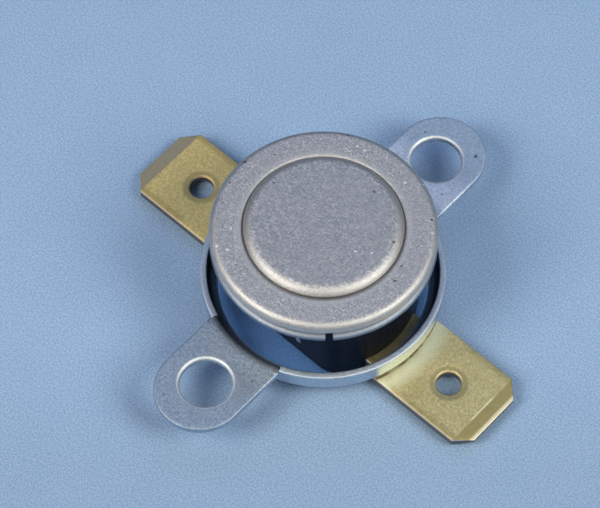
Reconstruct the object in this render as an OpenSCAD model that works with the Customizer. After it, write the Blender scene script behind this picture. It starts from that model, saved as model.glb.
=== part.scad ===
// Bimetal snap-disc thermostat for a refrigerator, sensing cap up, with its loose two-ear bracket.
// X runs along the two blade terminals, Y along the bracket's ears and Z up through the cap.
// The origin is on the axis of the cap, on the plane that the base stands on.

/* [Cap] */
// Outer diameter of the aluminium cap
cap_d = 15.7; // [15.5:0.05:15.9]
// Height of the cap's shoulder above the base's underside
shoulder_h = 9.15; // [9:0.05:9.6]
// Thickness of the cap's sheet
cap_t = 0.4; // [0.3:0.05:0.45]
// Height of the skirt, from the shoulder to the bottom of the rolled lip
skirt_h = 1.9; // [1.85:0.05:1.95]
// Radius of the shoulder's outer edge
shoulder_r = 0.45; // [0.3:0.05:0.6]
// Depth of the skirt's waist, between the shoulder's edge and the bead of the rolled lip
waist_deep = 0.12; // [0.05:0.01:0.15]
// Radius of the bead where the lip is rolled in under the base's flange
roll_r = 0.28; // [0.24:0.01:0.34]
// Inner diameter of the rolled lip
lip_d = 13.7; // [13.7:0.05:14]
// Diameter of the raised sensing disc
disc_d = 11.1; // [10.8:0.1:11.3]
// Height of the raised sensing disc above the shoulder
disc_h = 0.5; // [0.45:0.05:0.6]
// Width of the raised disc's soft edge, from its flat top out to its foot
disc_edge = 0.8; // [0.65:0.05:0.9]
// Width of the crease pressed in at the foot of the raised disc
crease_w = 0.14; // [0.05:0.01:0.2]
// Depth of the crease
crease_deep = 0.08; // [0.04:0.01:0.12]
// Width of the notch in the skirt's lower edge
notch_w = 0.6; // [0.3:0.1:1]
// Height of the notch
notch_h = 0.85; // [0.5:0.05:0.9]
// Direction of the notch, counted from the X axis
notch_turn = -45; // [-90:5:0]

/* [Base] */
// Diameter of the base's moulded body
base_d = 13.5; // [13.2:0.1:13.6]
// Width across the base's two flats
base_flats = 9.4; // [9.3:0.1:9.8]
// Rounding of the base's upright corners, where a flat meets the round side
base_corner = 2; // [1:0.1:2.4]
// Thickness of the wall between the terminals' beds and the switch chamber
floor_t = 0.95; // [0.8:0.05:1.1]
// Length of the switch chamber along X
chamber_l = 10.6; // [10.5:0.1:10.8]
// Width of the switch chamber along Y
chamber_w = 7; // [6:0.1:7.2]
// Length of the guide plate's seat along X
seat_l = 11.6; // [11.4:0.1:11.7]
// Width of the guide plate's seat along Y
seat_w = 8.2; // [7.8:0.1:8.3]
// Depth of the seat below the rim that carries the snap disc
seat_deep = 1.28; // [1.24:0.02:1.4]
// Width of the barrier rib between the two terminals
rib_w = 3.2; // [2.5:0.1:3.3]
// Size of the step around the base's underside
base_step = 0.2; // [0.1:0.05:0.3]

/* [Terminals] */
// Width of the blade, for a quarter-inch push-on connector
blade_w = 6.35; // [6.2:0.05:6.4]
// Thickness of the blade
blade_t = 0.8; // [0.7:0.05:0.85]
// Distance from one blade's tip to the other's
blade_span = 31.6; // [30:0.1:33]
// Height of the blades' undersides above the base's underside
blade_lift = 0.4; // [0.36:0.02:0.5]
// Width of the neck that lies in the base
neck_w = 5; // [4.5:0.1:5.4]
// Distance from the axis to the shoulder where the neck meets the blade
neck_end = 7; // [6.9:0.05:7.1]
// Chamfer at the corners of the blade's tip
tip_corner = 1.1; // [0.8:0.1:1.4]
// Length of the bevel at the blade's tip
bevel_l = 1.1; // [0.6:0.1:1.4]
// Drop of the bevel on each face
bevel_drop = 0.24; // [0.1:0.02:0.3]
// Distance between the two latching holes
latch_pitch = 23.4; // [23:0.1:24]
// Diameter of the latching hole
latch_d = 1.75; // [1.6:0.05:1.9]
// Width of the pressed-in edge around the latching hole
latch_edge = 0.16; // [0.08:0.02:0.2]

/* [Rivets] */
// Distance between the two tubular rivets
rivet_pitch = 6.6; // [6.4:0.1:6.6]
// Diameter of the rivet's shank
rivet_d = 1.8; // [1.6:0.1:1.9]
// Diameter of the rivet's head under the terminal
rivet_head_d = 3; // [2.6:0.1:3.1]
// Diameter of the closed end inside the chamber
rivet_end_d = 2.3; // [2.1:0.1:2.3]
// Thickness of both ends
rivet_head_t = 0.3; // [0.2:0.02:0.32]
// Bore of the tubular shank
rivet_bore = 1; // [0.6:0.1:1.1]
// Length of the solid end of the shank
rivet_solid = 0.9; // [0.6:0.1:1.2]

/* [Bracket] */
// Outer diameter of the bracket's ring
ring_d = 17.2; // [17.1:0.1:17.4]
// Height of the ring, from its underside to the face of the ears
ring_h = 2; // [1.9:0.05:2.2]
// Thickness of the bracket's sheet
sheet_t = 0.5; // [0.4:0.05:0.5]
// Diameter of the hole in the ring's floor
ring_hole_d = 14.8; // [14.4:0.1:15]
// Outer radius of the bend at the ring's foot
foot_r = 0.9; // [0.7:0.05:0.95]
// Inner radius of the bend from the ring's wall into an ear
ear_bend = 0.2; // [0.1:0.05:0.3]
// Width of an ear
ear_w = 6.4; // [6:0.1:6.8]
// Distance from one ear's tip to the other's
ear_span = 31.5; // [31:0.1:32.5]
// Distance between the two screw holes
ear_pitch = 24; // [23.6:0.1:24.2]
// Diameter of a screw hole
ear_hole_d = 3.6; // [3.2:0.1:3.8]
// Rounding of the ring's trimmed rim
rim_r = 0.12; // [0.05:0.01:0.18]

/* [Snap disc and pin] */
// Diameter of the bimetal snap disc
snap_d = 12.7; // [12.5:0.1:12.9]
// Thickness of the snap disc
snap_t = 0.2; // [0.15:0.01:0.22]
// Height of the snap disc's dome
snap_dome = 0.35; // [0.25:0.01:0.36]
// Depth of the rim that carries the snap disc, below the underside of the cap's shoulder
snap_room = 0.37; // [0.36:0.01:0.4]
// Thickness of the guide plate
guide_t = 0.8; // [0.6:0.05:0.9]
// Diameter of the boss under the guide plate
guide_boss_d = 3.2; // [2.4:0.1:3.6]
// Height of that boss
guide_boss_h = 0.8; // [0.4:0.1:0.9]
// Diameter of the ceramic transfer pin
pin_d = 1.5; // [1.3:0.05:1.6]

/* [Contacts] */
// Thickness of the contact plate and of the arm's support
strip_t = 0.5; // [0.4:0.05:0.5]
// Width of the contact plate and of the arm's support
strip_w = 2.8; // [2.4:0.1:3]
// Length of their feet on the chamber's floor
strip_foot = 3.2; // [3:0.1:3.3]
// Distance from the axis to their upright legs' outer faces
strip_out = 5; // [4.98:0.01:5.02]
// Height of the arm's support above the chamber's floor
support_h = 1.8; // [1.7:0.05:1.9]
// Length of the tab that carries the arm
support_tab = 1.6; // [1.5:0.1:1.8]
// Thickness of the contact arm
arm_t = 0.2; // [0.15:0.01:0.2]
// Width of the arm at its root
arm_root_w = 2.8; // [2.4:0.1:3]
// Width of the arm at its tip
arm_tip_w = 2.2; // [2:0.1:2.4]
// Distance from the axis to the arm's root
arm_root = 4.6; // [4.4:0.1:4.8]
// Distance from the axis to the centre of the contacts
contact_x = 2.4; // [2.3:0.1:2.5]
// Distance from the axis to the near end of the contact plate
plate_end = 1.4; // [1.3:0.05:1.5]
// Diameter of a contact button
button_d = 1.6; // [1.4:0.1:1.8]
// Height of a contact button
button_h = 0.35; // [0.25:0.05:0.4]
// Diameter of a contact button's shank
button_shank = 0.7; // [0.5:0.05:0.8]

/* [Fits] */
// Clearance between pieces that rest on each other
rest_gap = 0.02; // [0.01:0.01:0.03]
// Radial clearance of the transfer pin in its guide
pin_fit = 0.03; // [0.02:0.01:0.05]
// Clearance around pieces that lie in a recess or a hole
seat_gap = 0.05; // [0.03:0.01:0.06]

/* [Hidden] */
$fn = 96;
arc_steps = 8;
past = 0.5;
aluminium = [0.70, 0.69, 0.71];
phenolic = [0.05, 0.05, 0.06];
zinc = [0.60, 0.64, 0.68];
brass = [0.66, 0.60, 0.36];
silver = [0.85, 0.85, 0.84];
copper_alloy = [0.76, 0.58, 0.36];
bimetal = [0.55, 0.54, 0.52];
ceramic = [0.92, 0.90, 0.86];
guide_grey = [0.24, 0.22, 0.21];
cap_r = cap_d / 2;
top_z = shoulder_h + disc_h;
disc_turn = 2 * atan(disc_h / disc_edge);
disc_r = disc_edge / sin(disc_turn);
lip_z = shoulder_h - skirt_h;
waist_turn = acos(1 - waist_deep / roll_r);
flange_r = cap_r - cap_t - seat_gap;
flange_z = lip_z + cap_t + rest_gap;
snap_z = shoulder_h - cap_t - snap_room;
seat_z = snap_z - seat_deep;
blade_top = blade_lift + blade_t;
recess_z = blade_top + seat_gap;
chamber_z = recess_z + floor_t;
foot_z = chamber_z + rest_gap;
rivet_x = rivet_pitch / 2;
rivet_low = blade_lift - rest_gap - rivet_head_t;
rivet_high = foot_z + strip_t + rest_gap;
ring_z = blade_top + seat_gap;
ring_r = ring_d / 2;
face_z = ring_z + ring_h;
turn_r = ring_r + ear_bend;
turn_z = face_z - sheet_t - ear_bend;
ear_half = asin(ear_w / 2 / turn_r);
ear_end_y = ear_span / 2 - ear_w / 2;
arm_z = foot_z + support_h + rest_gap;
arm_top = arm_z + arm_t;
moving_top = arm_top + rest_gap + button_h;
plate_z = moving_top + rest_gap + button_h + rest_gap;
snap_low = snap_z + rest_gap;
pin_low = arm_top + rest_gap;
pin_high = snap_low + snap_dome - rest_gap;
guide_z = seat_z + rest_gap;

// Points along an arc about [x, z], from one direction to another
function arc(x, z, r, from, to) = [
  for (i = [0:arc_steps])
    [x + r * cos(from + (to - from) * i / arc_steps), z + r * sin(from + (to - from) * i / arc_steps)]
];

// Height of the snap disc's dome at distance r from the axis
function dome(r) = snap_dome * (1 - pow(2 * r / snap_d, 2));

// Inner side of the bracket's section: down the wall and in along the ring's floor
function ring_inside() = concat(
  arc(ring_r - foot_r, ring_z + foot_r, foot_r - sheet_t, 0, -90),
  [[ring_hole_d / 2, ring_z + sheet_t]]
);

// Outer side of the bracket's section: out along the ring's floor and up the wall
function ring_outside() = concat(
  [[ring_hole_d / 2, ring_z]],
  arc(ring_r - foot_r, ring_z + foot_r, foot_r, -90, 0)
);

// Section of the ring where its rim is trimmed
function trimmed_section() = concat(
  ring_outside(),
  arc(ring_r - rim_r, face_z - rim_r, rim_r, 0, 90),
  arc(ring_r - sheet_t + rim_r, face_z - rim_r, rim_r, 90, 180),
  ring_inside()
);

// Section of the ring where its wall turns out into an ear
function eared_section() = concat(
  ring_outside(),
  arc(turn_r, turn_z, ear_bend, 180, 90),
  [[ear_span / 2 + past, face_z - sheet_t], [ear_span / 2 + past, face_z]],
  arc(turn_r, turn_z, ear_bend + sheet_t, 90, 180),
  ring_inside()
);

// A section turned about the axis between two directions
module swept(from, to, section)
  rotate([0, 0, from])
    rotate_extrude(angle = to - from)
      polygon(section);

// A plate with straight sides in Y and round ends in X, as the chamber and what sits in it are shaped
module flatted(length, width, low, high)
  translate([0, 0, low])
    linear_extrude(high - low)
      intersection() {
        circle(d = length);
        square([length, width], center = true);
      }

// The body's own outline: as above, with the corners between the flats and the round ends softened
module softened(length, width, corner, low, high)
  let (
    reach = length / 2 - corner,
    corner_y = width / 2 - corner,
    corner_x = sqrt(reach * reach - corner_y * corner_y),
    wedge = length / reach
  )
    translate([0, 0, low])
      linear_extrude(high - low) {
        square([2 * corner_x, width], center = true);
        for (side = [-1, 1]) {
          intersection() {
            circle(d = length);
            polygon([
              [0, 0],
              [side * wedge * corner_x, -wedge * corner_y],
              [side * wedge * corner_x, wedge * corner_y]
            ]);
          }
          for (end = [-1, 1])
            translate([side * corner_x, end * corner_y])
              circle(r = corner);
        }
      }

// A straight prism along Y with its outline given in X and Z
module strip(outline, width)
  translate([0, width / 2, 0])
    rotate([90, 0, 0])
      linear_extrude(width)
        polygon(outline);

// Everything on the side of the fixed contact, or its mirror image on the arm's side
module on_side(side)
  mirror([side < 0 ? 1 : 0, 0, 0])
    children();

// Drawn cap: raised sensing disc, flat shoulder, beaded skirt and a lip rolled under the flange
module cap()
  color(aluminium)
    difference() {
      rotate_extrude()
        polygon(concat(
          [[0, top_z]],
          arc(disc_d / 2 - disc_edge, top_z - disc_r, disc_r, 90, 90 - disc_turn),
          [
            [disc_d / 2, shoulder_h - crease_deep],
            [disc_d / 2 + crease_w / 2, shoulder_h - crease_deep],
            [disc_d / 2 + crease_w, shoulder_h]
          ],
          arc(cap_r - shoulder_r, shoulder_h - shoulder_r, shoulder_r, 90, 0),
          arc(cap_r - roll_r, lip_z + roll_r, roll_r, waist_turn, -90),
          [
            [lip_d / 2, lip_z],
            [lip_d / 2, lip_z + cap_t],
            [cap_r - cap_t, lip_z + cap_t],
            [cap_r - cap_t, shoulder_h - cap_t],
            [disc_d / 2 - cap_t, shoulder_h - cap_t]
          ],
          arc(disc_d / 2 - disc_edge, top_z - disc_r, disc_r - cap_t, 90 - disc_turn, 90),
          [[0, top_z - cap_t]]
        ));
      rotate([0, 0, notch_turn])
        translate([lip_d / 2 - past, -notch_w / 2, lip_z - past])
          cube([cap_r - lip_d / 2 + 2 * past, notch_w, notch_h + past]);
    }

// Shallow dome that snaps when it warms; it lies loose between the base's rim and the cap
module bimetal_disc()
  color(bimetal)
    rotate_extrude()
      polygon(concat(
        [for (i = [0:arc_steps]) let (r = snap_d / 2 * i / arc_steps) [r, snap_low + dome(r)]],
        [for (i = [arc_steps:-1:0]) let (r = snap_d / 2 * i / arc_steps) [r, snap_low + snap_t + dome(r)]]
      ));

// Plate that closes the switch chamber and guides the pin
module guide_plate()
  color(guide_grey)
    difference() {
      union() {
        flatted(seat_l - 2 * seat_gap, seat_w - 2 * seat_gap, guide_z, guide_z + guide_t);
        translate([0, 0, guide_z - guide_boss_h])
          cylinder(d = guide_boss_d, h = guide_boss_h + guide_t / 2);
      }
      translate([0, 0, guide_z - guide_boss_h - past])
        cylinder(d = pin_d + 2 * pin_fit, h = guide_boss_h + guide_t + 2 * past);
    }

// Ceramic pin between the snap disc and the contact arm, with a domed lower end
module transfer_pin()
  color(ceramic)
    rotate_extrude()
      polygon(concat(
        [[0, pin_high], [pin_d / 2, pin_high]],
        arc(0, pin_low + pin_d / 2, pin_d / 2, 0, -90)
      ));

// Moulded base: round body with two flats, flange under the cap, chamber above and terminal beds below
module base()
  color(phenolic)
    difference() {
      union() {
        softened(base_d, base_flats, base_corner, base_step, flange_z + past / 2);
        softened(base_d - 2 * base_step, base_flats - 2 * base_step, base_corner, 0, base_step + past);
        translate([0, 0, flange_z])
          cylinder(r = flange_r, h = snap_z - flange_z);
      }
      flatted(chamber_l, chamber_w, chamber_z, seat_z + past);
      flatted(seat_l, seat_w, seat_z, snap_z + past);
      for (side = [-1, 1])
        on_side(side) {
          translate([rib_w / 2, -neck_w / 2 - seat_gap, -past])
            cube([base_d, neck_w + 2 * seat_gap, recess_z + past]);
          translate([rivet_x, 0, 0])
            cylinder(d = rivet_d + 2 * seat_gap, h = chamber_z + past);
        }
    }

// Upright column with an ear's outline
module ear_column()
  translate([0, 0, ring_z - past])
    linear_extrude(ring_h + 2 * past)
      union() {
        translate([-ear_w / 2, 0])
          square([ear_w, ear_end_y]);
        translate([0, ear_end_y])
          circle(d = ear_w);
      }

// Loose bracket, one sheet: a floor ring, a wall drawn up from it, and two ears turned out of the wall
module bracket()
  color(zinc)
    difference() {
      union()
        for (side = [0, 180]) {
          swept(side - 90 + ear_half, side + 90 - ear_half, trimmed_section());
          intersection() {
            swept(side + 90 - ear_half, side + 90 + ear_half, eared_section());
            rotate([0, 0, side])
              ear_column();
          }
        }
      for (side = [-1, 1])
        translate([0, side * ear_pitch / 2, ring_z])
          cylinder(d = ear_hole_d, h = ring_h + past);
    }

// Flat blade terminal whose narrower neck lies under the base, bevelled at its tip
module terminal()
  color(brass)
    difference() {
      intersection() {
        translate([0, 0, blade_lift])
          linear_extrude(blade_t)
            polygon([
              [rib_w / 2 + seat_gap, -neck_w / 2],
              [neck_end, -neck_w / 2],
              [neck_end, -blade_w / 2],
              [blade_span / 2 - tip_corner, -blade_w / 2],
              [blade_span / 2, tip_corner - blade_w / 2],
              [blade_span / 2, blade_w / 2 - tip_corner],
              [blade_span / 2 - tip_corner, blade_w / 2],
              [neck_end, blade_w / 2],
              [neck_end, neck_w / 2],
              [rib_w / 2 + seat_gap, neck_w / 2]
            ]);
        strip([
          [0, blade_lift],
          [blade_span / 2 - bevel_l, blade_lift],
          [blade_span / 2, blade_lift + bevel_drop],
          [blade_span / 2, blade_top - bevel_drop],
          [blade_span / 2 - bevel_l, blade_top],
          [0, blade_top]
        ], 2 * blade_w);
      }
      translate([rivet_x, 0, 0])
        cylinder(d = rivet_d + 2 * seat_gap, h = blade_top + past);
      translate([latch_pitch / 2, 0, 0]) {
        cylinder(d = latch_d, h = blade_top + past);
        translate([0, 0, blade_top - latch_edge])
          cylinder(r1 = latch_d / 2, r2 = latch_d / 2 + 2 * latch_edge, h = 2 * latch_edge);
        translate([0, 0, blade_lift - latch_edge])
          cylinder(r1 = latch_d / 2 + 2 * latch_edge, r2 = latch_d / 2, h = 2 * latch_edge);
      }
    }

// Terminal under the arm's support
module arm_terminal()
  on_side(-1)
    terminal();

// Terminal under the contact plate
module contact_terminal()
  on_side(1)
    terminal();

// The two tubular rivets that clamp a terminal, the base's floor and a foot together
module rivets()
  color(brass)
    for (side = [-1, 1])
      translate([side * rivet_x, 0, 0])
        rotate_extrude()
          polygon([
            [rivet_bore / 2, rivet_low],
            [rivet_head_d / 2, rivet_low],
            [rivet_head_d / 2, rivet_low + rivet_head_t],
            [rivet_d / 2, rivet_low + rivet_head_t],
            [rivet_d / 2, rivet_high],
            [rivet_end_d / 2, rivet_high],
            [rivet_end_d / 2, rivet_high + rivet_head_t],
            [0, rivet_high + rivet_head_t],
            [0, rivet_high + rivet_head_t - rivet_solid],
            [rivet_bore / 2, rivet_high + rivet_head_t - rivet_solid]
          ]);

// Bent strip: a foot on the chamber's floor, a leg and a shelf that reaches back over the rivet
module riveted_strip(top, shelf_end)
  difference() {
    strip([
      [strip_out - strip_foot, foot_z],
      [strip_out, foot_z],
      [strip_out, top],
      [shelf_end, top],
      [shelf_end, top - strip_t],
      [strip_out - strip_t, top - strip_t],
      [strip_out - strip_t, foot_z + strip_t],
      [strip_out - strip_foot, foot_z + strip_t]
    ], strip_w);
    translate([rivet_x, 0, chamber_z - past])
      cylinder(d = rivet_d + 2 * seat_gap, h = strip_t + 2 * past);
  }

// Support that lifts the arm's root off the floor
module arm_support()
  color(brass)
    on_side(-1)
      riveted_strip(foot_z + support_h, strip_out - support_tab);

// Leaf arm that the pin presses down to part the contacts
module contact_arm()
  color(copper_alloy)
    translate([0, 0, arm_z])
      linear_extrude(arm_t)
        difference() {
          union() {
            polygon([
              [-arm_root, -arm_root_w / 2],
              [contact_x, -arm_tip_w / 2],
              [contact_x, arm_tip_w / 2],
              [-arm_root, arm_root_w / 2]
            ]);
            translate([contact_x, 0])
              circle(d = arm_tip_w);
          }
          translate([contact_x, 0])
            circle(d = button_shank + 2 * rest_gap);
        }

// Contact button that faces up, with a shank down through its carrier
module button(crown_z, shank_l)
  color(silver)
    translate([contact_x, 0, crown_z]) {
      translate([0, 0, -button_h])
        cylinder(d = button_d, h = button_h);
      translate([0, 0, -button_h - shank_l])
        cylinder(d = button_shank, h = shank_l + button_h / 2);
    }

// Button on the arm
module moving_contact()
  button(moving_top, arm_t + 2 * rest_gap);

// Plate that holds the fixed contact over the arm
module contact_plate()
  color(brass)
    difference() {
      on_side(1)
        riveted_strip(plate_z + strip_t, plate_end);
      translate([contact_x, 0, plate_z - past])
        cylinder(d = button_shank + 2 * rest_gap, h = strip_t + 2 * past);
    }

// Button under the contact plate, the moving one turned over
module fixed_contact()
  translate([0, 0, 2 * moving_top + rest_gap])
    mirror([0, 0, 1])
      button(moving_top, strip_t + 2 * rest_gap);

cap();
bimetal_disc();
guide_plate();
transfer_pin();
base();
bracket();
arm_terminal();
contact_terminal();
rivets();
arm_support();
contact_arm();
moving_contact();
contact_plate();
fixed_contact();
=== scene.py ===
import math

import bmesh
import bpy
from mathutils import Matrix, Vector


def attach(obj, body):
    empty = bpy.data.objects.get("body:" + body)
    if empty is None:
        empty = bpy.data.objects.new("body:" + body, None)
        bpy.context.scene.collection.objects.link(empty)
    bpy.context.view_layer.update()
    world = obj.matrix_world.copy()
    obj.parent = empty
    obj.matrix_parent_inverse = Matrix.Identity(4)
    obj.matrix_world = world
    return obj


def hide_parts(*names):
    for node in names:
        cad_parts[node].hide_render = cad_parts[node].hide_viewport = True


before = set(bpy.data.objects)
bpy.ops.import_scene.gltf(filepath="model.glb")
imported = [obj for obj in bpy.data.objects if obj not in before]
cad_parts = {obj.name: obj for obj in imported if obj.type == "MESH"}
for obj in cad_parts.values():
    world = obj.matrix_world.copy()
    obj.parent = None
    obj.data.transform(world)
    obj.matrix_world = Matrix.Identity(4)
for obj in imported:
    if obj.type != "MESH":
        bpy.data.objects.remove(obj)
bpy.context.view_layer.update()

MM = 0.001


def outward(turn, height):
    """Unit vector away from the part; turn goes from -Y towards +X, and both are in radians"""
    return Vector((math.sin(turn) * math.cos(height), -math.cos(turn) * math.cos(height), math.sin(height)))


# Camera at the photograph's angle, lengths in millimetres
AZIMUTH, ELEVATION = math.radians(42.239), math.radians(60.646)
AIM_Z, AWAY, SHIFT_RIGHT, SHIFT_UP = 1.2, 215.9, -1.6176, 2.0326
BACK = outward(AZIMUTH, ELEVATION)
RIGHT = Vector((math.cos(AZIMUTH), math.sin(AZIMUTH), 0))
UP = BACK.cross(RIGHT)
camera = bpy.data.objects.new("camera", bpy.data.cameras.new("camera"))
bpy.context.scene.collection.objects.link(camera)
camera.data.lens = 184.266
camera.data.sensor_width = 36
camera.data.clip_start, camera.data.clip_end = 0.01, 10
camera.location = (Vector((0, 0, AIM_Z)) + AWAY * BACK + SHIFT_RIGHT * RIGHT + SHIFT_UP * UP) * MM
camera.rotation_euler = Matrix((RIGHT, UP, BACK)).transposed().to_euler()
bpy.context.scene.camera = camera
bpy.context.scene.view_settings.view_transform = "Standard"

# Sizes in millimetres, as in the CAD where it has them
# Cap: outer radius, sheet and the lip's opening, then heights, then the raised disc and the skirt's forms
CAP_R, CAP_T, LIP_R = 7.85, 0.4, 6.85
TOP_Z, SHOULDER_Z, LIP_Z = 9.65, 9.15, 7.25
DISC_R, DISC_EDGE = 5.55, 0.8
CREASE = ((0.01, 0.06), (0.05, 0.08), (0.10, 0.05), (0.17, 0.008), (0.30, 0.0))  # out from the disc, down
SHOULDER_EDGE, GROOVE, BEAD = 0.55, 0.29, 0.2
GROOVE_WAY = ((0.12, 0.88), (0.23, 0.95), (GROOVE, 1.1))  # in from the cap's side, down from the shoulder
NOTCH_TURN, NOTCH_W, NOTCH_H = math.radians(-45), 0.6, 0.8
NOTCH_TAPER, NOTCH_LEAN, NOTCH_SLOPE = 0.16, 0.03, 0.12
# Burr on the skirt: radius, turn in degrees and height of each section's middle, and its half width
BURR = (
    ((7.72, -60.9, 7.58), 0.10), ((7.88, -60.8, 7.38), 0.13),
    ((7.92, -60.3, 7.14), 0.12), ((7.86, -59.6, 6.86), 0.06),
)
BURR_FLAT, BURR_LEAN = 0.4, 0.25
# Bracket: its ring, the bends of its sheet, and its ears
RING_R, RING_HOLE_R, RING_Z, FACE_Z, SHEET = 8.6, 7.4, 1.25, 3.25, 0.5
FOOT, EAR_BEND, RING_RIM, HOLE_RIM, HOLE_CHAMFER = 0.9, 0.2, 0.12, 0.08, 0.04
EAR_HALF, EAR_END_Y, HOLE_Y, HOLE_R = 3.2, 12.55, 12.0, 1.8
EAR_ROLL_TOP, EAR_ROLL_LOW, EAR_ROLL_FADE, BORE_ROLL_TOP, BORE_ROLL_LOW = 0.10, 0.05, 0.4, 0.24, 0.05
BEND_R, BEND_Z = RING_R + EAR_BEND, FACE_Z - SHEET - EAR_BEND
EAR_SPREAD = math.degrees(math.asin(EAR_HALF / BEND_R))
# Blades: heights, half widths, the neck, the bevelled tip and the latching hole with its dimple
BLADE_LOW, BLADE_TOP, BLADE_HALF, TIP = 0.4, 1.2, 3.175, 15.8
NECK_HALF, NECK_IN, NECK_END = 2.5, 1.65, 7.0
TIP_CORNER, BEVEL_L, BEVEL_DROP, BEVEL_EASE = 1.1, 1.1, 0.24, 0.08
BLADE_ROLL_TOP, BLADE_ROLL_LOW = 0.07, 0.03
LATCH_X, LATCH_R, LATCH_ROLL = 11.7, 0.875, 0.16
DIMPLE_DROP = 0.04
DIMPLE = ((1.16, 0.035), (1.3, 0.022), (1.4, 0.006), (1.5, 0.0))  # radius, depth


# Mesh helpers
def angles(start, end, n):
    """n + 1 angles in radians between two in degrees"""
    return [math.radians(start + (end - start) * i / n) for i in range(n + 1)]


def arc(cx, cz, r, start, end, n):
    """n + 1 points along an arc between two angles in degrees"""
    return [(cx + r * math.cos(t), cz + r * math.sin(t)) for t in angles(start, end, n)]


def polar(r, turn, z):
    """Point at a distance from the Z axis, a turn about it in radians and a height"""
    return Vector((r * math.cos(turn), r * math.sin(turn), z))


def between(a, b, n):
    """The n - 1 points that part the way from a to b into n steps"""
    return [tuple(p + (q - p) * i / n for p, q in zip(a, b)) for i in range(1, n)]


def smooth(mesh, sharp):
    """Smooth faces, with the edges above an angle in degrees kept sharp"""
    mesh.polygons.foreach_set("use_smooth", [True] * len(mesh.polygons))
    mesh.set_sharp_from_angle(angle=math.radians(sharp))


def finish_mesh(name, bm, sharp=32):
    """A mesh object in metres from a bmesh in millimetres, with its doubled vertices joined"""
    bmesh.ops.remove_doubles(bm, verts=bm.verts, dist=2e-4)
    bmesh.ops.recalc_face_normals(bm, faces=bm.faces)
    bmesh.ops.scale(bm, vec=(MM, MM, MM), verts=bm.verts)
    mesh = bpy.data.meshes.new(name)
    bm.to_mesh(mesh)
    bm.free()
    smooth(mesh, sharp)
    obj = bpy.data.objects.new(name, mesh)
    bpy.context.scene.collection.objects.link(obj)
    return obj


def sweep(bm, profile, turns):
    """Faces between copies of an open profile (r, z) at turns about the Z axis; gives the rows of vertices"""
    rows = [[bm.verts.new(polar(r, t, z)) for r, z in profile] for t in turns]
    for a, b in zip(rows, rows[1:]):
        for k in range(len(profile) - 1):
            bm.faces.new((a[k], b[k], b[k + 1], a[k + 1]))
    return rows


def join(bm, a, b, gap=None):
    """Faces between two closed rows of vertices, but none after the vertex whose number is gap"""
    for k in range(len(a)):
        m = (k + 1) % len(a)
        if k != gap:
            bm.faces.new((a[k], a[m], b[m], b[k]))


def sheet_section(place, centre, bore, edge, top_n, low_n):
    """Points of a flat sheet's section: up a hole's wall, over the top, round the edge and back underneath

    place is a point of the outline with its outward normal (x, y, nx, ny), centre the hole's (x, y), bore the
    profile (r, z) of its wall from below, and edge the profile (distance outwards, z) of the edge from above.
    """
    x, y, nx, ny = place
    middle = Vector((*centre, 0))
    turn = math.atan2(y - centre[1], x - centre[0])
    wall = [tuple(middle + polar(r, turn, z)) for r, z in bore]
    rim = [(x + nx * out, y + ny * out, z) for out, z in edge]
    return wall + between(wall[-1], rim[0], top_n) + rim + between(rim[-1], wall[0], low_n)


def cut(obj, cutter_bm):
    """Takes a solid out of an object's mesh, for good"""
    cutter = finish_mesh("cutter", cutter_bm)
    modifier = obj.modifiers.new("cut", "BOOLEAN")
    modifier.operation, modifier.solver, modifier.object = "DIFFERENCE", "EXACT", cutter
    graph = bpy.context.evaluated_depsgraph_get()
    made = bpy.data.meshes.new_from_object(obj.evaluated_get(graph))
    obj.modifiers.clear()
    old, obj.data = obj.data, made
    bpy.data.meshes.remove(old)
    bpy.data.objects.remove(cutter)
    smooth(made, 32)


# Cap
def cap_mesh():
    """Drawn cap: raised disc with a crease at its foot, shoulder, groove, bead and a lip turned in"""
    bm = bmesh.new()
    edge_turn = 2 * math.degrees(math.atan((TOP_Z - SHOULDER_Z) / DISC_EDGE))
    edge_r = DISC_EDGE / math.sin(math.radians(edge_turn))
    flat_r, skirt_r = DISC_R - DISC_EDGE, CAP_R - CAP_T
    # the points within the disc's flat and the shoulder only keep the shading even
    outside = (
        [(0, TOP_Z), (2.6, TOP_Z), (flat_r - 0.3, TOP_Z)]
        + arc(flat_r, TOP_Z - edge_r, edge_r, 90, 90 - edge_turn, 18)
        + [(DISC_R + out, SHOULDER_Z - down) for out, down in CREASE]
        + [(6.6, SHOULDER_Z), (CAP_R - SHOULDER_EDGE - 0.15, SHOULDER_Z)]
        + arc(CAP_R - SHOULDER_EDGE, SHOULDER_Z - SHOULDER_EDGE, SHOULDER_EDGE, 90, -22, 20)
        + [(CAP_R - inwards, SHOULDER_Z - down) for inwards, down in GROOVE_WAY]
        + arc(CAP_R - GROOVE + BEAD, SHOULDER_Z - 1.3, BEAD, 180, 240, 6)
        + arc(CAP_R - BEAD, LIP_Z + BEAD, BEAD, 60, -90, 14)
    )
    inside = [
        (LIP_R, LIP_Z), (LIP_R, LIP_Z + CAP_T), (skirt_r, LIP_Z + CAP_T), (skirt_r, SHOULDER_Z - CAP_T),
        (DISC_R - CAP_T, SHOULDER_Z - CAP_T), (DISC_R - CAP_T, TOP_Z - CAP_T), (0, TOP_Z - CAP_T),
    ]
    sweep(bm, outside + inside, angles(0, 360, 256))
    return bm


def notch_mesh():
    """Block that cuts the notch in the skirt's lower edge, tapered and a little askew at its top"""
    bm = bmesh.new()
    place = Matrix.Translation((CAP_R - CAP_T, 0, LIP_Z)) @ Matrix.Diagonal((2.4, NOTCH_W, 2 * NOTCH_H, 1))
    bmesh.ops.create_cube(bm, size=1, matrix=Matrix.Rotation(NOTCH_TURN, 4, "Z") @ place)
    across = Vector((-math.sin(NOTCH_TURN), math.cos(NOTCH_TURN), 0))
    for v in bm.verts:
        if v.co.z > LIP_Z:
            side = v.co.dot(across)
            v.co -= across * (NOTCH_TAPER * side + NOTCH_LEAN)
            if side > 0:
                v.co.z -= NOTCH_SLOPE
    return bm


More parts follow.
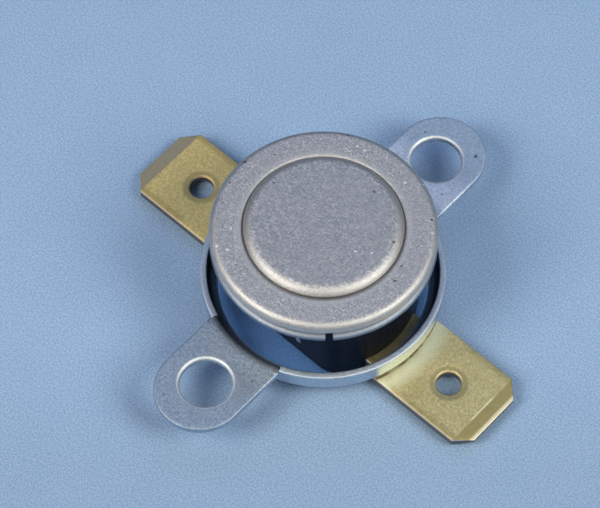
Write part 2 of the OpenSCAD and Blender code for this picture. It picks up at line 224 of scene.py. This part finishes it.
def burr_mesh():
    """Flat thread of metal that hangs from the skirt"""
    bm = bmesh.new()
    rings = []
    for (r, degrees, z), size in BURR:
        turn = math.radians(degrees)
        along, out = polar(1, turn + math.pi / 2, 0), polar(1, turn, BURR_LEAN).normalized()
        rings.append([
            bm.verts.new(polar(r, turn, z) + size * (along * math.cos(q) + out * BURR_FLAT * math.sin(q)))
            for q in angles(0, 360, 8)[:-1]
        ])
    for a, b in zip(rings, rings[1:]):
        join(bm, a, b)
    bm.faces.new(rings[0])
    bm.faces.new(rings[-1])
    return bm


cap = finish_mesh("cap_shell", cap_mesh())
cut(cap, notch_mesh())
burr = finish_mesh("skirt_burr", burr_mesh(), 60)
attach(burr, "housing")
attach(cap, "housing")
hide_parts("cap")


# Bracket
EAR_TURNS_N, TRIM_TURNS_N, EAR_SIDE_N, EAR_TIP_N = 40, 132, 14, 48


def bracket_ring(bm):
    """Floor and wall of the ring, trimmed between the ears and bent outwards into them; one sheet"""
    outside, inside = (RING_R, BEND_Z), (RING_R - SHEET, BEND_Z)
    below = (
        [outside, (RING_R, RING_Z + FOOT + 0.2)]
        + arc(RING_R - FOOT, RING_Z + FOOT, FOOT, 0, -90, 12)
        + [(RING_HOLE_R + HOLE_CHAMFER, RING_Z), (RING_HOLE_R, RING_Z + HOLE_CHAMFER)]
        + arc(RING_HOLE_R + HOLE_RIM, RING_Z + SHEET - HOLE_RIM, HOLE_RIM, 180, 90, 4)
        + arc(RING_R - FOOT, RING_Z + FOOT, FOOT - SHEET, -90, 0, 8)
        + [inside]
    )
    trimmed = (
        [outside]
        + arc(RING_R - RING_RIM, FACE_Z - RING_RIM, RING_RIM, 0, 90, 5)
        + arc(RING_R - SHEET + RING_RIM, FACE_Z - RING_RIM, RING_RIM, 90, 180, 5)
        + [inside]
    )
    bend_under = arc(BEND_R, BEND_Z, EAR_BEND, 180, 90, 6)
    bend_over = arc(BEND_R, BEND_Z, EAR_BEND + SHEET, 90, 180, 12)
    for middle in (90, 270):
        eared = angles(middle - EAR_SPREAD, middle + EAR_SPREAD, EAR_TURNS_N)
        plain = angles(middle + EAR_SPREAD, middle + 180 - EAR_SPREAD, TRIM_TURNS_N)
        sweep(bm, below, eared)
        sweep(bm, below, plain)
        rim = sweep(bm, trimmed, plain)
        under, over = sweep(bm, bend_under, eared), sweep(bm, bend_over, eared)
        for end in (0, -1):
            bm.faces.new(rim[end])
            bm.faces.new(under[end] + over[end])


def bracket_ear(bm, sign):
    """An ear's flat part, all round its hole; sign is its side along Y"""
    root_y = BEND_R * math.cos(math.radians(EAR_SPREAD))
    root = [(BEND_R * math.sin(t), BEND_R * math.cos(t), 0, 0)
            for t in angles(EAR_SPREAD, -EAR_SPREAD, EAR_TURNS_N)]
    climb = [root_y + (EAR_END_Y - root_y) * i / EAR_SIDE_N for i in range(EAR_SIDE_N)]
    free = [(-EAR_HALF, y, -1, 0) for y in climb]
    free += [(EAR_HALF * math.cos(t), EAR_END_Y + EAR_HALF * math.sin(t), math.cos(t), math.sin(t))
             for t in angles(180, 0, EAR_TIP_N)]
    free += [(EAR_HALF, y, 1, 0) for y in reversed(climb)]
    places = free + root[1:-1]
    low_z = FACE_Z - SHEET
    bore = (
        arc(HOLE_R + BORE_ROLL_LOW, low_z + BORE_ROLL_LOW, BORE_ROLL_LOW, -90, -180, 2)
        + arc(HOLE_R + BORE_ROLL_TOP, FACE_Z - BORE_ROLL_TOP, BORE_ROLL_TOP, 180, 90, 7)
    )
    top_n = low_n = 8

    def section(place, is_free):
        if is_free:
            rolled = min(1.0, (place[1] - root_y) / EAR_ROLL_FADE)
            top, low = EAR_ROLL_TOP * rolled, EAR_ROLL_LOW * rolled
            edge = arc(-top, FACE_Z - top, top, 90, 0, 4) + arc(-low, low_z + low, low, 0, -90, 3)
        else:
            edge = [(0, FACE_Z), (0, low_z)]
        points = sheet_section(place, (0, HOLE_Y), bore, edge, top_n, low_n)
        return [bm.verts.new((sign * x, sign * y, z)) for x, y, z in points]

    for i, place in enumerate(places):
        is_free = i < len(free) - 1
        gap = None if is_free else len(bore) + top_n - 1  # at its root the ear goes on into the bend
        join(bm, section(place, is_free), section(places[(i + 1) % len(places)], is_free), gap)


bracket_bm = bmesh.new()
bracket_ring(bracket_bm)
bracket_ear(bracket_bm, 1)
bracket_ear(bracket_bm, -1)
bracket = finish_mesh("bracket_sheet", bracket_bm, 40)
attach(bracket, "bracket")
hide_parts("bracket")


# Blades
def outline_places(corners, steps):
    """Places (x, y, nx, ny) round an outline with their outward normals, mitred at the corners"""
    sides = list(zip(corners, corners[1:] + corners[:1]))
    normals = []
    for (x0, y0), (x1, y1) in sides:
        length = math.hypot(x1 - x0, y1 - y0)
        normals.append(((y1 - y0) / length, (x0 - x1) / length))
    places = []
    for i, (start, end) in enumerate(sides):
        (ax, ay), (bx, by) = normals[i - 1], normals[i]
        mitre = 1 + ax * bx + ay * by
        places.append((*start, (ax + bx) / mitre, (ay + by) / mitre))
        places += [(x, y, bx, by) for x, y in between(start, end, steps[i])]
    return places


def blade_mesh(sign):
    """Flat blade with its neck, a bevelled tip and a dimpled latching hole; sign is its side along X"""
    bm = bmesh.new()
    lower_half = [
        (NECK_IN, -NECK_HALF), (NECK_END, -NECK_HALF), (NECK_END, -BLADE_HALF),
        (TIP - TIP_CORNER, -BLADE_HALF), (TIP, TIP_CORNER - BLADE_HALF),
    ]
    corners = lower_half + [(x, -y) for x, y in reversed(lower_half)]
    top_wall = (
        arc(LATCH_R + LATCH_ROLL, BLADE_TOP - DIMPLE_DROP - LATCH_ROLL, LATCH_ROLL, 180, 90, 6)
        + [(r, BLADE_TOP - depth) for r, depth in DIMPLE]
    )
    bore = [(r, BLADE_TOP + BLADE_LOW - z) for r, z in reversed(top_wall)] + top_wall
    edge = (
        arc(-BLADE_ROLL_TOP, BLADE_TOP - BLADE_ROLL_TOP, BLADE_ROLL_TOP, 90, 0, 4)
        + arc(-BLADE_ROLL_LOW, BLADE_LOW + BLADE_ROLL_LOW, BLADE_ROLL_LOW, 0, -90, 2)
    )
    places = outline_places(corners, steps=(14, 3, 24, 6, 14, 6, 24, 3, 14, 12))
    rows = [[bm.verts.new(point) for point in sheet_section(place, (LATCH_X, 0), bore, edge, 8, 6)]
            for place in places]
    for a, b in zip(rows, rows[1:] + rows[:1]):
        join(bm, a, b)
    bmesh.ops.remove_doubles(bm, verts=bm.verts, dist=2e-4)

    bevel_x = TIP - BEVEL_L
    for x in (bevel_x, bevel_x + BEVEL_EASE, bevel_x - BEVEL_EASE):
        bmesh.ops.bisect_plane(bm, geom=bm.verts[:] + bm.edges[:] + bm.faces[:], dist=1e-5,
                               plane_co=(x, 0, 0), plane_no=(1, 0, 0))
    middle, half = (BLADE_TOP + BLADE_LOW) / 2, (BLADE_TOP - BLADE_LOW) / 2
    for v in bm.verts:
        drop = BEVEL_DROP * max(0.0, (v.co.x - bevel_x) / BEVEL_L)
        v.co = (sign * v.co.x, sign * v.co.y, middle + (v.co.z - middle) * (1 - drop / half))
    return bm


blades = []
for node, sign in (("arm_terminal", -1), ("contact_terminal", 1)):
    blade = finish_mesh(node + "_blade", blade_mesh(sign), 24)
    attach(blade, "housing")
    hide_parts(node)
    blades.append(blade)

# CAD solids that stay: joined faces and small edge radii, in millimetres
RADII = {
    "base": 0.05, "guide_plate": 0.04, "rivets": 0.04, "arm_support": 0.03, "contact_plate": 0.03,
    "contact_arm": 0.02, "moving_contact": 0.05, "fixed_contact": 0.05, "bimetal_disc": 0.02,
    "transfer_pin": 0.03,
}
for name, radius in RADII.items():
    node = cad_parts[name]
    node.data.polygons.foreach_set("use_smooth", [True] * len(node.data.polygons))
    weld = node.modifiers.new("weld", "WELD")
    weld.merge_threshold = 1e-6
    bevel = node.modifiers.new("bevel", "BEVEL")
    bevel.width, bevel.segments, bevel.limit_method = radius * MM, 2, "ANGLE"
    bevel.angle_limit = math.radians(35)
    bevel.harden_normals = True


# Materials
class Paint:
    """A node material whose calls give node outputs, and whose base colour is painted in coats

    Lengths are millimetres in the piece's own coordinates.
    """

    def __init__(self, name, **sockets):
        self.mat = bpy.data.materials.new(name)
        self.mat.use_nodes = True
        self.tree = self.mat.node_tree
        self.bsdf = self.tree.nodes["Principled BSDF"]
        coords = self.tree.nodes.new("ShaderNodeTexCoord")
        scale = self.tree.nodes.new("ShaderNodeVectorMath")
        scale.operation = "SCALE"
        scale.inputs["Scale"].default_value = 1 / MM
        self.link(coords.outputs["Object"], scale.inputs[0])
        self.at = scale.outputs[0]
        for key, value in sockets.items():
            self.bsdf.inputs[key.replace("_", " ")].default_value = value

    def link(self, a, b):
        self.tree.links.new(a, b)

    def put(self, value, socket):
        """Links an output to a socket, or sets a plain value on it"""
        if isinstance(value, bpy.types.NodeSocket):
            self.link(value, socket)
        else:
            socket.default_value = value

    def math(self, op, a, b=0.0):
        n = self.tree.nodes.new("ShaderNodeMath")
        n.operation = op
        self.put(a, n.inputs[0])
        self.put(b, n.inputs[1])
        return n.outputs[0]

    def times(self, a, b):
        return self.math("MULTIPLY", a, b)

    def stretch(self, x, y, z, turn=0.0):
        """Coordinates scaled along each axis, after a turn in degrees about Z"""
        n = self.tree.nodes.new("ShaderNodeMapping")
        n.inputs["Scale"].default_value = (x, y, z)
        n.inputs["Rotation"].default_value = (0, 0, math.radians(turn))
        self.link(self.at, n.inputs["Vector"])
        return n.outputs[0]

    def noise(self, scale, detail, rough, vector=None):
        n = self.tree.nodes.new("ShaderNodeTexNoise")
        n.inputs["Scale"].default_value = scale
        n.inputs["Detail"].default_value = detail
        n.inputs["Roughness"].default_value = rough
        self.link(vector or self.at, n.inputs["Vector"])
        return n.outputs["Fac"]

    def cells(self, scale, vector):
        """Distance from the nearest of scattered points"""
        n = self.tree.nodes.new("ShaderNodeTexVoronoi")
        n.inputs["Scale"].default_value = scale
        self.link(vector, n.inputs["Vector"])
        return n.outputs["Distance"]

    def step(self, value, low, high, out_low=0.0, out_high=1.0):
        """Smooth change from out_low to out_high while a value goes from low to high"""
        n = self.tree.nodes.new("ShaderNodeMapRange")
        n.interpolation_type = "SMOOTHSTEP"
        self.put(value, n.inputs["Value"])
        n.inputs["From Min"].default_value, n.inputs["From Max"].default_value = low, high
        n.inputs["To Min"].default_value, n.inputs["To Max"].default_value = out_low, out_high
        return n.outputs["Result"]

    def band(self, value, at, near, far, amount=1.0):
        """Line where a value is within near of a number, fading to nothing at far from it"""
        away = self.math("ABSOLUTE", self.math("SUBTRACT", value, at))
        return self.step(away, near, far, amount, 0.0)

    def spots(self, places, edge=0.03, uneven=0.09):
        """Irregular spots at places (x, y, radius), seen from above"""
        flat = self.stretch(1, 1, 0)
        wander = self.times(self.noise(14, 1, 0.5), uneven)
        total = 0.0
        for x, y, size in places:
            n = self.tree.nodes.new("ShaderNodeVectorMath")
            n.operation = "DISTANCE"
            self.link(flat, n.inputs[0])
            n.inputs[1].default_value = (x, y, 0)
            away = self.math("ADD", n.outputs["Value"], wander)
            r = size + uneven / 2
            total = self.math("MAXIMUM", total, self.step(away, r - edge, r + edge, 1.0, 0.0))
        return total

    def part(self, axis):
        """One coordinate"""
        n = self.tree.nodes.new("ShaderNodeSeparateXYZ")
        self.link(self.at, n.inputs[0])
        return n.outputs[axis]

    def radius(self, x=0.0, y=0.0):
        """Distance from the upright line at x, y"""
        dx = self.math("SUBTRACT", self.part("X"), x)
        dy = self.math("SUBTRACT", self.part("Y"), y)
        return self.math("SQRT", self.math("ADD", self.times(dx, dx), self.times(dy, dy)))

    def normal_z(self):
        """How far the surface faces up: 1 on top, 0 on an upright wall, -1 underneath"""
        n = self.tree.nodes.new("ShaderNodeNewGeometry")
        s = self.tree.nodes.new("ShaderNodeSeparateXYZ")
        self.link(n.outputs["Normal"], s.inputs[0])
        return s.outputs["Z"]

    def mix(self, factor, a, b, blend="MIX"):
        n = self.tree.nodes.new("ShaderNodeMix")
        n.data_type, n.blend_type = "RGBA", blend
        self.put(factor, n.inputs["Factor"])
        for value, socket in zip((a, b), [s for s in n.inputs if s.type == "RGBA"]):
            self.put((*value, 1.0) if isinstance(value, tuple) else value, socket)
        return next(s for s in n.outputs if s.type == "RGBA")

    def first_coat(self, factor, a, b):
        self.coat = self.mix(factor, a, b)

    def over(self, amount, colour):
        """Paints a colour over the coats so far"""
        self.coat = self.mix(amount, self.coat, colour)

    def tinted(self, colour):
        """The coats so far, multiplied by a colour"""
        return self.mix(1.0, self.coat, colour, "MULTIPLY")

    def done(self, rough, *layers):
        """The material with its colour, roughness and bump layers (height, millimetres)"""
        self.link(self.coat, self.bsdf.inputs["Base Color"])
        self.put(rough, self.bsdf.inputs["Roughness"])
        before = None
        for height, depth in layers:
            n = self.tree.nodes.new("ShaderNodeBump")
            n.inputs["Strength"].default_value = 1.0
            n.inputs["Distance"].default_value = depth * MM
            self.link(height, n.inputs["Height"])
            if before:
                self.link(before, n.inputs["Normal"])
            before = n.outputs["Normal"]
        self.link(before, self.bsdf.inputs["Normal"])
        return self.mat


# Small wear where the photograph shows it: x, y and radius of each spot
CAP_PITS = [
    (-7.49, 0.18, 0.12), (-7.14, -1.74, 0.09), (-3.69, 6.54, 0.08), (0.88, 4.17, 0.10), (5.09, 5.37, 0.12),
    (5.94, 1.27, 0.09), (6.37, 0.10, 0.09), (3.99, -0.71, 0.05), (4.50, 2.08, 0.10), (-4.66, 0.1, 0.07),
    (-6.35, 2.0, 0.08),
]
CAP_NICKS = [
    (-2.60, 6.34, 0.10), (-1.99, 6.44, 0.08), (1.79, 6.37, 0.10), (2.80, 7.12, 0.09), (-4.39, -5.97, 0.12),
    (-3.66, -5.70, 0.11), (-4.6, -4.32, 0.08), (5.78, 4.62, 0.10), (3.03, -0.19, 0.08), (3.93, 0.45, 0.09),
]
EAR_PITS = [(1.9, 14.1, 0.12), (-2.1, 13.2, 0.06), (2.2, 10.1, 0.06), (-1.5, -14.6, 0.07), (2.3, -9.8, 0.07)]


def aluminium():
    """Matt drawn aluminium, with a coarse grain"""
    p = Paint("drawn_aluminium", Metallic=1.0)
    r, z = p.radius(), p.part("Z")
    grain, cloud = p.step(p.noise(7.0, 3, 0.68), 0.3, 0.7), p.noise(0.5, 3, 0.55)
    fine = p.noise(20, 2, 0.6)
    drawn = p.step(p.noise(1.0, 2, 0.55, p.stretch(1.4, 9, 1, 25)), 0.45, 0.75)
    bent = p.step(p.normal_z(), 0.90, 0.995, 1.0, 0.0)
    p.first_coat(grain, (0.36, 0.35, 0.355), (0.88, 0.84, 0.82))
    p.over(p.times(drawn, 0.3), (0.88, 0.85, 0.83))
    p.over(p.step(p.noise(2.4, 3, 0.65), 0.40, 0.62, 0.0, 0.45), (0.42, 0.41, 0.415))
    p.over(p.step(cloud, 0.35, 0.7, 0.0, 0.35), (0.52, 0.52, 0.54))
    p.over(p.times(bent, 0.75), (0.60, 0.59, 0.58))
    # painted shade darkens the skirt below the groove, and a painted bluish reflection of the floor darkens the
    # lower turn of the bead
    p.over(p.step(z, LIP_Z + 0.85, LIP_Z + 1.1, 0.35, 0.0), (0.34, 0.35, 0.38))
    p.over(p.step(z, LIP_Z + 0.28, LIP_Z + 0.6, 0.8, 0.0), (0.15, 0.22, 0.34))
    # the raised disc's tone, a painted highlight as a bright line round it, and painted shade as a dark line in
    # the crease at its foot
    p.over(p.step(r, DISC_R - 0.9, DISC_R - 0.75, 0.4, 0.0), (0.46, 0.465, 0.49))
    p.over(p.band(r, DISC_R + 0.34, 0.08, 0.22, 0.55), (0.68, 0.66, 0.63))
    p.over(p.band(r, DISC_R + 0.01, 0.03, 0.09, 0.8), (0.07, 0.07, 0.075))
    pits, nicks = p.spots(CAP_PITS), p.spots(CAP_NICKS)
    p.over(p.times(pits, 0.7), (0.10, 0.09, 0.10))
    p.over(p.times(nicks, 0.7), (0.98, 0.98, 0.98))
    satin = p.step(p.math("ADD", p.times(grain, 0.6), p.times(cloud, 0.4)), 0.2, 0.8, 0.54, 0.63)
    rough = p.math("SUBTRACT", satin, p.times(bent, 0.035))
    return p.done(rough, (grain, 0.008), (drawn, 0.004), (fine, 0.003), (cloud, 0.02),
                  (pits, -0.02), (nicks, 0.02))


def zinc():
    """Bluish zinc-plated sheet"""
    p = Paint("zinc_plated_sheet", Metallic=1.0)
    r, y, z = p.radius(), p.part("Y"), p.part("Z")
    grain, cloud = p.step(p.noise(7, 3, 0.6), 0.3, 0.7), p.noise(0.7, 3, 0.6)
    p.first_coat(grain, (0.40, 0.48, 0.58), (0.60, 0.70, 0.82))
    p.over(p.step(cloud, 0.4, 0.7, 0.0, 0.4), (0.55, 0.60, 0.67))
    # painted shade darkens the near ear, and painted light brightens the far ear at its root, where the cap
    # shades it
    p.over(p.step(y, -10.5, -8.8, 1.0, 0.0), p.tinted((0.80, 0.82, 0.84)))
    p.over(p.times(p.step(y, 8.6, 9.4), p.step(y, 10.4, 12.6, 1.0, 0.0)), p.tinted((1.6, 1.45, 1.35)))
    # painted highlights on the rims of the ears' holes, and pits
    hole_r = p.math("MINIMUM", p.radius(0, HOLE_Y), p.radius(0, -HOLE_Y))
    p.over(p.step(hole_r, HOLE_R + 0.16, HOLE_R + 0.28, 0.6, 0.0), (0.97, 0.97, 0.94))
    p.over(p.times(p.spots(EAR_PITS), 0.8), (0.06, 0.06, 0.08))
    # the ring: painted shade darkens its inside, and painted highlights lighten its rim and the edge round its
    # hole
    wall_r = RING_R - SHEET
    p.over(p.step(r, wall_r - 0.02, wall_r + 0.10, 0.8, 0.0), (0.07, 0.09, 0.13))
    rim = p.times(p.step(z, FACE_Z - 0.2, FACE_Z - 0.08), p.step(r, RING_R + 0.05, RING_R + 0.15, 0.3, 0.0))
    p.over(p.times(rim, p.step(r, wall_r, wall_r + 0.12)), (0.86, 0.92, 0.97))
    p.over(p.band(r, RING_HOLE_R + 0.03, 0.04, 0.10, 0.8), (0.50, 0.58, 0.70))
    upright = p.step(p.math("ABSOLUTE", p.normal_z()), 0.2, 0.8, 1.0, 0.0)
    rough = p.math("SUBTRACT", p.step(grain, 0.0, 1.0, 0.56, 0.64), p.times(upright, 0.24))
    return p.done(rough, (grain, 0.004), (cloud, 0.02))


def ring_reflection_and_shade(p, cloud):
    """Painted light and shade where the loose ring sits on a blade: a painted reflection of the ring's wall
    beside the ring, painted shade inside it, and a broken brown line of painted contact shadow under its foot
    """
    r, upper = p.radius(), p.step(p.part("Z"), BLADE_TOP - 0.5, BLADE_TOP - 0.1)
    # painted reflection of the ring's wall in the blade beside the ring
    ring_reflection = p.times(p.step(r, RING_R + 0.1, RING_R + 1.6, 0.95, 0.0), p.step(cloud, 0.2, 0.6, 0.8, 1.0))
    ring_reflection = p.times(ring_reflection, p.step(r, RING_R - 0.3, RING_R - 0.15))
    p.over(p.times(ring_reflection, upper), (1.0, 0.95, 0.64))
    # painted shade on the blade inside the ring
    p.over(p.times(p.step(r, RING_R - 0.7, RING_R - 0.35, 0.6, 0.0), upper), (0.22, 0.17, 0.09))
    # broken brown line of painted contact shadow under the ring's foot
    broken_contact_shade = p.times(p.step(p.noise(1.3, 3, 0.6), 0.35, 0.6, 0.3, 0.9), upper)
    p.over(p.times(p.band(r, RING_R - 0.2, 0.05, 0.14), broken_contact_shade), (0.30, 0.20, 0.08))


def brass(name, latch_x=None, tint=(1.0, 1.0, 1.0), rough=0.55):
    """Rolled brass; latch_x is where a blade has its latching hole, and the blade at +X gets painted reflection,
    shade and highlight by the ring and at its tip
    """
    p = Paint(name, Metallic=1.0)

    def tone(*rgb):
        return tuple(min(1.0, v * t) for v, t in zip(rgb, tint))

    grain, cloud = p.step(p.noise(6.0, 4, 0.7), 0.3, 0.7), p.noise(0.9, 3, 0.6)
    rolled = p.noise(1.0, 2, 0.5, p.stretch(14, 1.2, 1))
    p.first_coat(grain, tone(0.62, 0.50, 0.225), tone(0.92, 0.79, 0.41))
    p.over(p.step(cloud, 0.4, 0.7, 0.0, 0.4), tone(0.70, 0.58, 0.27))
    p.over(p.step(rolled, 0.4, 0.65, 0.0, 0.2), tone(0.96, 0.83, 0.46))
    if latch_x is not None:
        plus_x_blade, bevel_x = latch_x > 0, TIP - BEVEL_L
        along, across = p.math("ABSOLUTE", p.part("X")), p.math("ABSOLUTE", p.part("Y"))
        if plus_x_blade:
            ring_reflection_and_shade(p, cloud)
        # tarnished rims towards the tip; the bevel in painted shade, with its ridge, and a painted highlight at
        # its end
        p.over(p.times(p.step(across, 2.55, 2.95), p.step(along, 10.2, 11.4, 0.0, 0.45)), tone(0.42, 0.34, 0.15))
        bevel_shade = (0.26, 0.22, 0.10) if plus_x_blade else (0.52, 0.47, 0.36)
        p.over(p.step(along, bevel_x - 0.05, bevel_x + 0.12, 0.0, 0.8), bevel_shade)
        if plus_x_blade:
            ridge = p.times(p.band(along, bevel_x, 0.03, 0.09, 0.8), p.step(across, 0.9, 1.3, 1.0, 0.0))
            p.over(ridge, (1.0, 0.92, 0.62))
            p.over(p.step(along, TIP - 0.34, TIP - 0.14, 0.0, 0.8), (0.86, 0.78, 0.58))
        # painted shade as a dark ring on the dimple round the latching hole, and the sheared edges with a
        # painted highlight at their top and painted shade below
        p.over(p.band(p.radius(latch_x, 0), 1.14, 0.08, 0.30, 0.45), (0.30, 0.27, 0.14))
        at_top = p.step(p.part("Z"), BLADE_TOP - 0.30, BLADE_TOP - 0.14)
        edge_highlight_and_shade = p.mix(at_top, (0.16, 0.17, 0.20), (1.0, 0.80, 0.66))
        p.over(p.step(p.math("ABSOLUTE", p.normal_z()), 0.3, 0.75, 0.9, 0.0), edge_highlight_and_shade)
    rough = p.step(grain, 0.0, 1.0, rough - 0.05, rough + 0.05)
    return p.done(rough, (grain, 0.006), (cloud, 0.02), (rolled, 0.004))


def moulded(name, low, high, rough=0.36, depth=0.001):
    """Moulded or fired stuff between two colours; depth is how uneven its surface is"""
    p = Paint(name, Specular_IOR_Level=0.09)
    speck = p.noise(3, 2, 0.5)
    p.first_coat(speck, low, high)
    return p.done(p.step(speck, 0.3, 0.7, rough - 0.04, rough + 0.04), (p.noise(1.6, 2, 0.5), depth))


def plain_metal(name, low, high, rough):
    """Finely brushed metal between two colours"""
    p = Paint(name, Metallic=1.0)
    grain = p.noise(8, 3, 0.6)
    brushed = p.noise(1.0, 2, 0.5, p.stretch(2, 18, 18))
    p.first_coat(grain, low, high)
    return p.done(p.step(brushed, 0.3, 0.7, rough - 0.07, rough + 0.08), (grain, 0.003), (brushed, 0.003))


def pale_paper():
    """Mottled pale blue paper with a few specks, with painted shade making it deeper blue in the ring's hole and
    a little darker in front
    """
    p = Paint("pale_paper", IOR=1.8)
    p.first_coat(p.noise(0.25, 4, 0.6), (0.360, 0.500, 0.695), (0.420, 0.550, 0.740))
    # painted shade: deeper blue under the part, inside the ring's hole
    p.over(p.step(p.radius(), RING_HOLE_R - 0.1, RING_HOLE_R + 0.5, 1.0, 0.0), (0.125, 0.30, 0.66))
    mottle = p.step(p.noise(7.5, 3, 0.8), 0.34, 0.66)
    p.coat = p.tinted(p.mix(mottle, (0.46, 0.61, 0.76), (1.0, 1.0, 1.0)))
    # painted shade: the paper a little darker towards the front
    aside = p.times(p.part("Y"), math.cos(AZIMUTH))
    in_front = p.math("SUBTRACT", p.times(p.part("X"), math.sin(AZIMUTH)), aside)
    p.over(p.step(in_front, 1, 17, 0.0, 0.125), (0.0, 0.0, 0.0))
    p.over(p.step(p.cells(0.09, p.stretch(1, 1, 0)), 0.007, 0.014, 0.7, 0.0), (0.05, 0.09, 0.16))
    return p.done(0.6, (p.noise(6, 3, 0.6), 0.01))


def give(obj, mat):
    obj.data.materials.clear()
    obj.data.materials.append(mat)


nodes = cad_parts
give(cap, aluminium())
give(burr, cap.data.materials[0])
give(bracket, zinc())
give(blades[0], brass("rolled_brass_dull", -LATCH_X, (1.05, 1.01, 0.93), 0.66))
give(blades[1], brass("rolled_brass", LATCH_X))
give(nodes["base"], moulded("black_phenolic", (0.005, 0.009, 0.020), (0.008, 0.013, 0.028)))
give(nodes["guide_plate"], moulded("brown_phenolic", (0.05, 0.045, 0.04), (0.075, 0.068, 0.06), 0.4, 0.006))
give(nodes["transfer_pin"], moulded("ceramic", (0.78, 0.75, 0.70), (0.86, 0.84, 0.79), 0.5, 0.004))
give(nodes["bimetal_disc"], plain_metal("bimetal", (0.42, 0.41, 0.39), (0.55, 0.54, 0.52), 0.38))
give(nodes["rivets"], brass("turned_brass"))
give(nodes["arm_support"], brass("strip_brass"))
give(nodes["contact_plate"], nodes["arm_support"].data.materials[0])
give(nodes["contact_arm"], plain_metal("copper_alloy", (0.66, 0.44, 0.26), (0.78, 0.55, 0.34), 0.35))
give(nodes["moving_contact"], plain_metal("contact_silver", (0.78, 0.78, 0.77), (0.88, 0.88, 0.87), 0.3))
give(nodes["fixed_contact"], nodes["moving_contact"].data.materials[0])

# Floor and light
floor_bm = bmesh.new()
bmesh.ops.create_grid(floor_bm, x_segments=1, y_segments=1, size=1500)
floor = finish_mesh("floor", floor_bm)
give(floor, pale_paper())


def softbox(name, turn, height, distance, size, power, colour):
    """An area light facing the part; turn is counted from the camera's side, to the right, in degrees"""
    light = bpy.data.objects.new(name, bpy.data.lights.new(name, "AREA"))
    bpy.context.scene.collection.objects.link(light)
    light.data.shape, light.data.size, light.data.size_y = "RECTANGLE", size[0] * MM, size[1] * MM
    light.data.energy, light.data.color = power, colour
    out = outward(AZIMUTH + math.radians(turn), math.radians(height))
    light.location = out * distance * MM
    light.rotation_euler = out.to_track_quat("Z", "Y").to_euler()


softbox("left_softbox", -62, 45, 340, (147, 185), 0.790, (1.0, 0.97, 0.90))
softbox("right_softbox", 62, 45, 340, (147, 185), 0.755, (1.0, 0.99, 0.91))
softbox("front_fill", 0, 32, 240, (170, 110), 0.050, (0.95, 1.0, 0.9))
softbox("far_right_fill", 145, 52, 240, (190, 130), 0.080, (0.43, 0.62, 1.0))
softbox("far_left_fill", -145, 52, 240, (190, 130), 0.066, (0.43, 0.60, 1.0))

world = bpy.data.worlds.new("studio")
bpy.context.scene.world = world
world.use_nodes = True
world.node_tree.nodes["Background"].inputs["Color"].default_value = (0.2, 0.4, 1.0, 1)
world.node_tree.nodes["Background"].inputs["Strength"].default_value = 0.004
